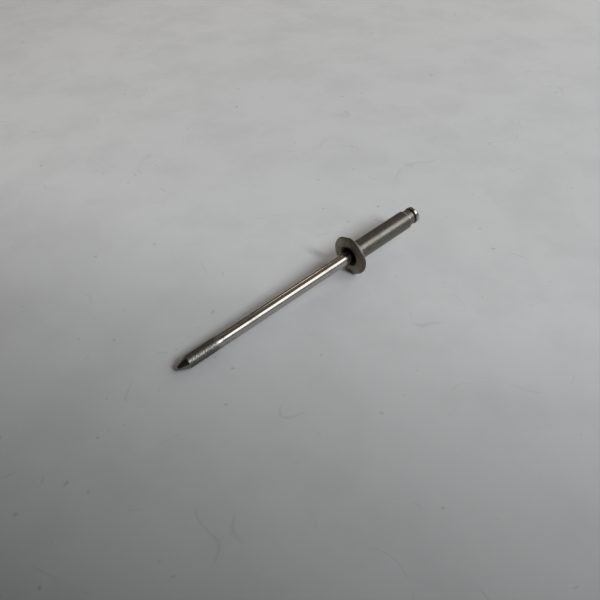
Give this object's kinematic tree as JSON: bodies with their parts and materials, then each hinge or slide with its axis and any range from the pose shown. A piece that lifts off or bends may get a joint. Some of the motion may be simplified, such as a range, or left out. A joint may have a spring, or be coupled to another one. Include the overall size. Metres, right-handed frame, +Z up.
{
  "type": "blind rivet",
  "caption": "Open-end blind rivet before setting: flanged hollow shank on a pointed drawn-wire mandrel whose rounded head seats on the shank's far end.",
  "frame": {"origin": "middle of the outline seen from above, at the surface the rivet lies on", "axes": "+X along the ground from the mandrel's tail towards the blind end and head, +Z up; the rivet's own axis rises 4.222 degrees from +X towards +Z, because it rests on the flange rim and on the tail"},
  "size_m": [0.0492, 0.0066, 0.0067],
  "materials": {
    "rivet_body": "dull tumbled steel, darker on the flange",
    "mandrel": "polished drawn steel wire, scuffed towards the tail"
  },
  "bodies": {
    "root": {"rivet_body": "rivet_body", "mandrel": "mandrel"}
  },
  "joints": []
}
